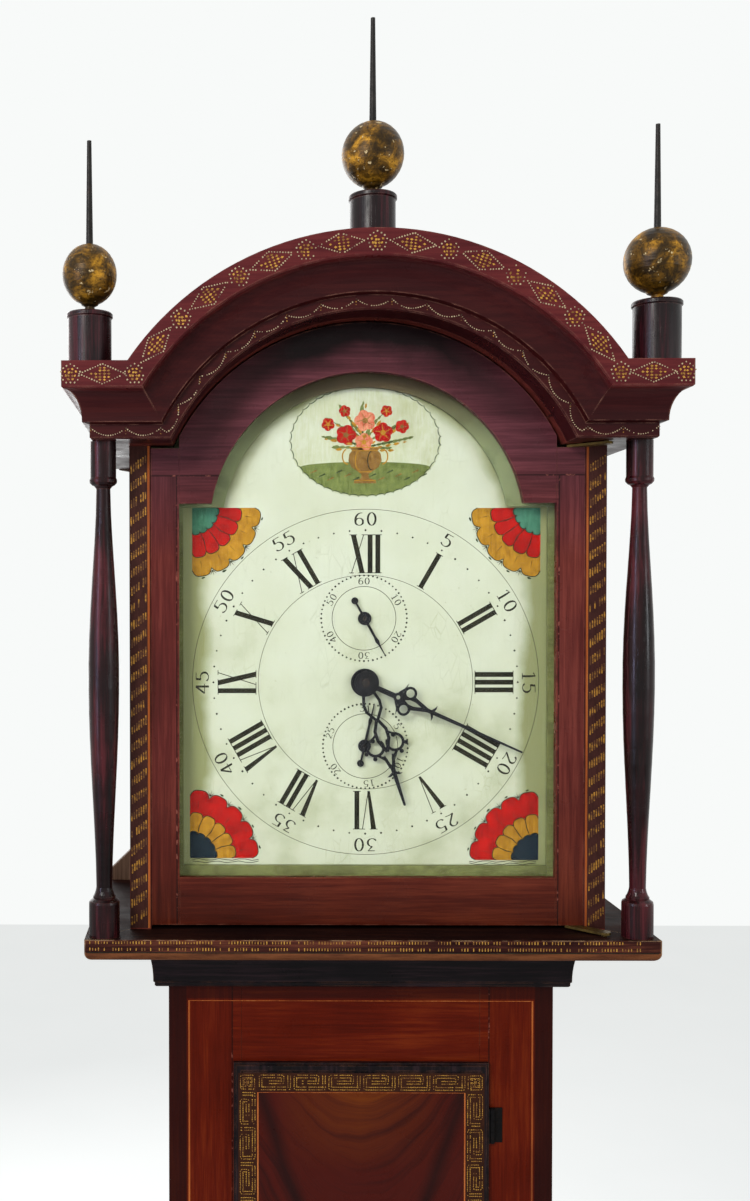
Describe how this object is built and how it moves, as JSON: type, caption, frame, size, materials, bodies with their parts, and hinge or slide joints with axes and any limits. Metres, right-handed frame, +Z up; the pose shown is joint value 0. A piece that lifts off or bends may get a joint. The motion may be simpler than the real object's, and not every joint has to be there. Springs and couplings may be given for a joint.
{
  "type": "wooden works tall-case clock",
  "caption": "Tall case clock with arched hood, turned finials and columns, painted dial, wooden gear movement, pendulum, weights, hood door and waist door.",
  "frame": {"origin": "on the floor, middle of the width and of the depth", "axes": "+X to the right of someone facing the dial, +Y from the dial to the back, +Z up"},
  "size_m": [0.4995, 0.2622, 2.2663],
  "materials": {
    "pine_board": "bare, greyed with age",
    "red_mahogany": "old varnish, satin",
    "dark_mahogany": "dark old varnish, satin",
    "cherry_wheels": "bare, oiled",
    "oak_plate": "bare, oiled",
    "dark_iron": "blackened",
    "old_brass": "dull",
    "bell_metal": "cast and turned",
    "gilt_wood": "worn gilding",
    "grey_paint": "old matt paint",
    "window_glass": "clear",
    "cream_paint": "old satin paint",
    "tinned_iron": "tinned sheet over a cast filling",
    "hemp_line": "laid cord"
  },
  "bodies": {
    "case": {"backboard": "pine_board", "waist_sides": "dark_mahogany", "waist_front_frame": "red_mahogany", "throat_moulding": "dark_mahogany", "base_moulding": "dark_mahogany", "base_front": "red_mahogany", "base_sides": "dark_mahogany", "base_floor": "pine_board", "bracket_feet": "dark_mahogany", "seatboard": "pine_board", "waist_hinge_frames": "dark_iron", "dial_board": "cream_paint", "front_plate": "oak_plate", "back_plate": "oak_plate", "plate_pillars": "cherry_wheels", "plate_brackets": "old_brass", "bell": "bell_metal", "time_line": "hemp_line", "strike_line": "hemp_line"},
    "waist_door": {"waist_door": "red_mahogany", "waist_door_hinges": "dark_iron", "waist_door_lock": "dark_iron"},
    "lock_bolt": {"lock_bolt": "dark_iron"},
    "hood": {"hood_base": "dark_mahogany", "hood_sides": "dark_mahogany", "hood_front_frame": "dark_mahogany", "cornice": "dark_mahogany", "hood_roof": "dark_mahogany", "columns": "dark_mahogany", "finial_plinths": "dark_mahogany", "finial_balls": "gilt_wood", "finial_spikes": "dark_iron", "dial_mask": "grey_paint"},
    "hood_door": {"hood_door_frame": "red_mahogany", "hood_door_glass": "window_glass", "hood_door_pivots": "old_brass"},
    "centre_arbor": {"centre_wheel": "cherry_wheels", "cannon_pinion": "cherry_wheels", "minute_hand": "dark_iron"},
    "time_great": {"time_great_wheel": "cherry_wheels"},
    "third_arbor": {"third_wheel": "cherry_wheels"},
    "escape_arbor": {"escape_wheel": "cherry_wheels", "seconds_hand": "dark_iron"},
    "minute_work": {"minute_wheel": "cherry_wheels"},
    "hour_work": {"hour_wheel": "cherry_wheels", "hour_hand": "dark_iron"},
    "day_work": {"day_wheel": "cherry_wheels"},
    "date_work": {"date_wheel": "cherry_wheels", "date_hand": "dark_iron"},
    "strike_great": {"strike_great_wheel": "cherry_wheels"},
    "pin_arbor": {"pin_wheel": "cherry_wheels"},
    "warning_arbor": {"warning_wheel": "cherry_wheels"},
    "fly_arbor": {"fly": "cherry_wheels"},
    "count_work": {"count_wheel": "cherry_wheels"},
    "hammer_arbor": {"hammer": "dark_iron"},
    "pendulum": {"pendulum_rod": "old_brass", "pendulum_bob": "old_brass"},
    "verge_arbor": {"verge": "dark_iron"},
    "time_weight_body": {"time_weight": "tinned_iron"},
    "strike_weight_body": {"strike_weight": "tinned_iron"}
  },
  "joints": [
    {"name": "hood_slide", "type": "slide", "parent": "case", "child": "hood", "axis": [0, -1, 0], "range_m": [0, 0.19]},
    {"name": "hood_door_swing", "type": "hinge", "parent": "hood", "child": "hood_door", "pos_m": [0.19, -0.0909, 1.7], "axis": [0, 0, 1], "range_deg": [0, 100]},
    {"name": "waist_door_swing", "type": "hinge", "parent": "case", "child": "waist_door", "pos_m": [0.1134, -0.0284, 1], "axis": [0, 0, 1], "range_deg": [0, 105]},
    {"name": "lock_bolt_slide", "type": "slide", "parent": "waist_door", "child": "lock_bolt", "axis": [-1, 0, 0], "range_m": [0, 0.008]},
    {"name": "centre_spin", "type": "hinge", "parent": "case", "child": "centre_arbor", "pos_m": [0, 0, 1.735], "axis": [0, 1, 0], "continuous": true},
    {"name": "time_great_spin", "type": "hinge", "parent": "case", "child": "time_great", "pos_m": [0.046, 0, 1.7144], "axis": [0, 1, 0], "continuous": true},
    {"name": "third_spin", "type": "hinge", "parent": "case", "child": "third_arbor", "pos_m": [0.03435, 0, 1.76679], "axis": [0, 1, 0], "continuous": true},
    {"name": "escape_spin", "type": "hinge", "parent": "case", "child": "escape_arbor", "pos_m": [0, 0, 1.7888], "axis": [0, 1, 0], "continuous": true},
    {"name": "minute_wheel_spin", "type": "hinge", "parent": "case", "child": "minute_work", "pos_m": [0.02546, 0, 1.76046], "axis": [0, 1, 0], "continuous": true},
    {"name": "hour_spin", "type": "hinge", "parent": "case", "child": "hour_work", "pos_m": [0, 0, 1.735], "axis": [0, 1, 0], "continuous": true},
    {"name": "day_spin", "type": "hinge", "parent": "case", "child": "day_work", "pos_m": [-0.03444, 0, 1.71669], "axis": [0, 1, 0], "continuous": true},
    {"name": "date_spin", "type": "hinge", "parent": "case", "child": "date_work", "pos_m": [0, 0, 1.6814], "axis": [0, 1, 0], "continuous": true},
    {"name": "strike_great_spin", "type": "hinge", "parent": "case", "child": "strike_great", "pos_m": [-0.052, 0, 1.7144], "axis": [0, 1, 0], "continuous": true},
    {"name": "pin_spin", "type": "hinge", "parent": "case", "child": "pin_arbor", "pos_m": [-0.06, 0, 1.76417], "axis": [0, 1, 0], "continuous": true},
    {"name": "warning_spin", "type": "hinge", "parent": "case", "child": "warning_arbor", "pos_m": [-0.054, 0, 1.80467], "axis": [0, 1, 0], "continuous": true},
    {"name": "fly_spin", "type": "hinge", "parent": "case", "child": "fly_arbor", "pos_m": [-0.044, 0, 1.83675], "axis": [0, 1, 0], "continuous": true},
    {"name": "count_spin", "type": "hinge", "parent": "case", "child": "count_work", "pos_m": [-0.066, 0, 1.72159], "axis": [0, 1, 0], "continuous": true},
    {"name": "hammer_swing", "type": "hinge", "parent": "case", "child": "hammer_arbor", "pos_m": [-0.082, 0, 1.829], "axis": [0, 1, 0], "range_deg": [-12, 0], "stiffness_Nm_per_rad": 0.02},
    {"name": "pendulum_swing", "type": "hinge", "parent": "case", "child": "pendulum", "pos_m": [0, 0, 1.8284], "axis": [0, 1, 0], "range_deg": [-2.5, 2.5]},
    {"name": "verge_rock", "type": "hinge", "parent": "case", "child": "verge_arbor", "pos_m": [0, 0, 1.8284], "axis": [0, 1, 0], "range_deg": [-2.5, 2.5]},
    {"name": "time_weight_rise", "type": "slide", "parent": "case", "child": "time_weight_body", "axis": [0, 0, 1], "range_m": [0, 0.74], "deforming": ["time_line"]},
    {"name": "strike_weight_rise", "type": "slide", "parent": "case", "child": "strike_weight_body", "axis": [0, 0, 1], "range_m": [0, 0.74], "deforming": ["strike_line"]}
  ],
  "couplings": [
    {"joint": "time_great_spin", "follows": "centre_spin", "ratio": -0.16667},
    {"joint": "third_spin", "follows": "centre_spin", "ratio": -8},
    {"joint": "escape_spin", "follows": "centre_spin", "ratio": 60},
    {"joint": "minute_wheel_spin", "follows": "centre_spin", "ratio": -0.33333},
    {"joint": "hour_spin", "follows": "centre_spin", "ratio": 0.083333},
    {"joint": "day_spin", "follows": "centre_spin", "ratio": -0.041667},
    {"joint": "date_spin", "follows": "centre_spin", "ratio": 0.0013441},
    {"joint": "pin_spin", "follows": "strike_great_spin", "ratio": -6},
    {"joint": "warning_spin", "follows": "strike_great_spin", "ratio": 48},
    {"joint": "fly_spin", "follows": "strike_great_spin", "ratio": -288},
    {"joint": "count_spin", "follows": "strike_great_spin", "ratio": 0.61538},
    {"joint": "verge_rock", "follows": "pendulum_swing", "ratio": 1}
  ]
}
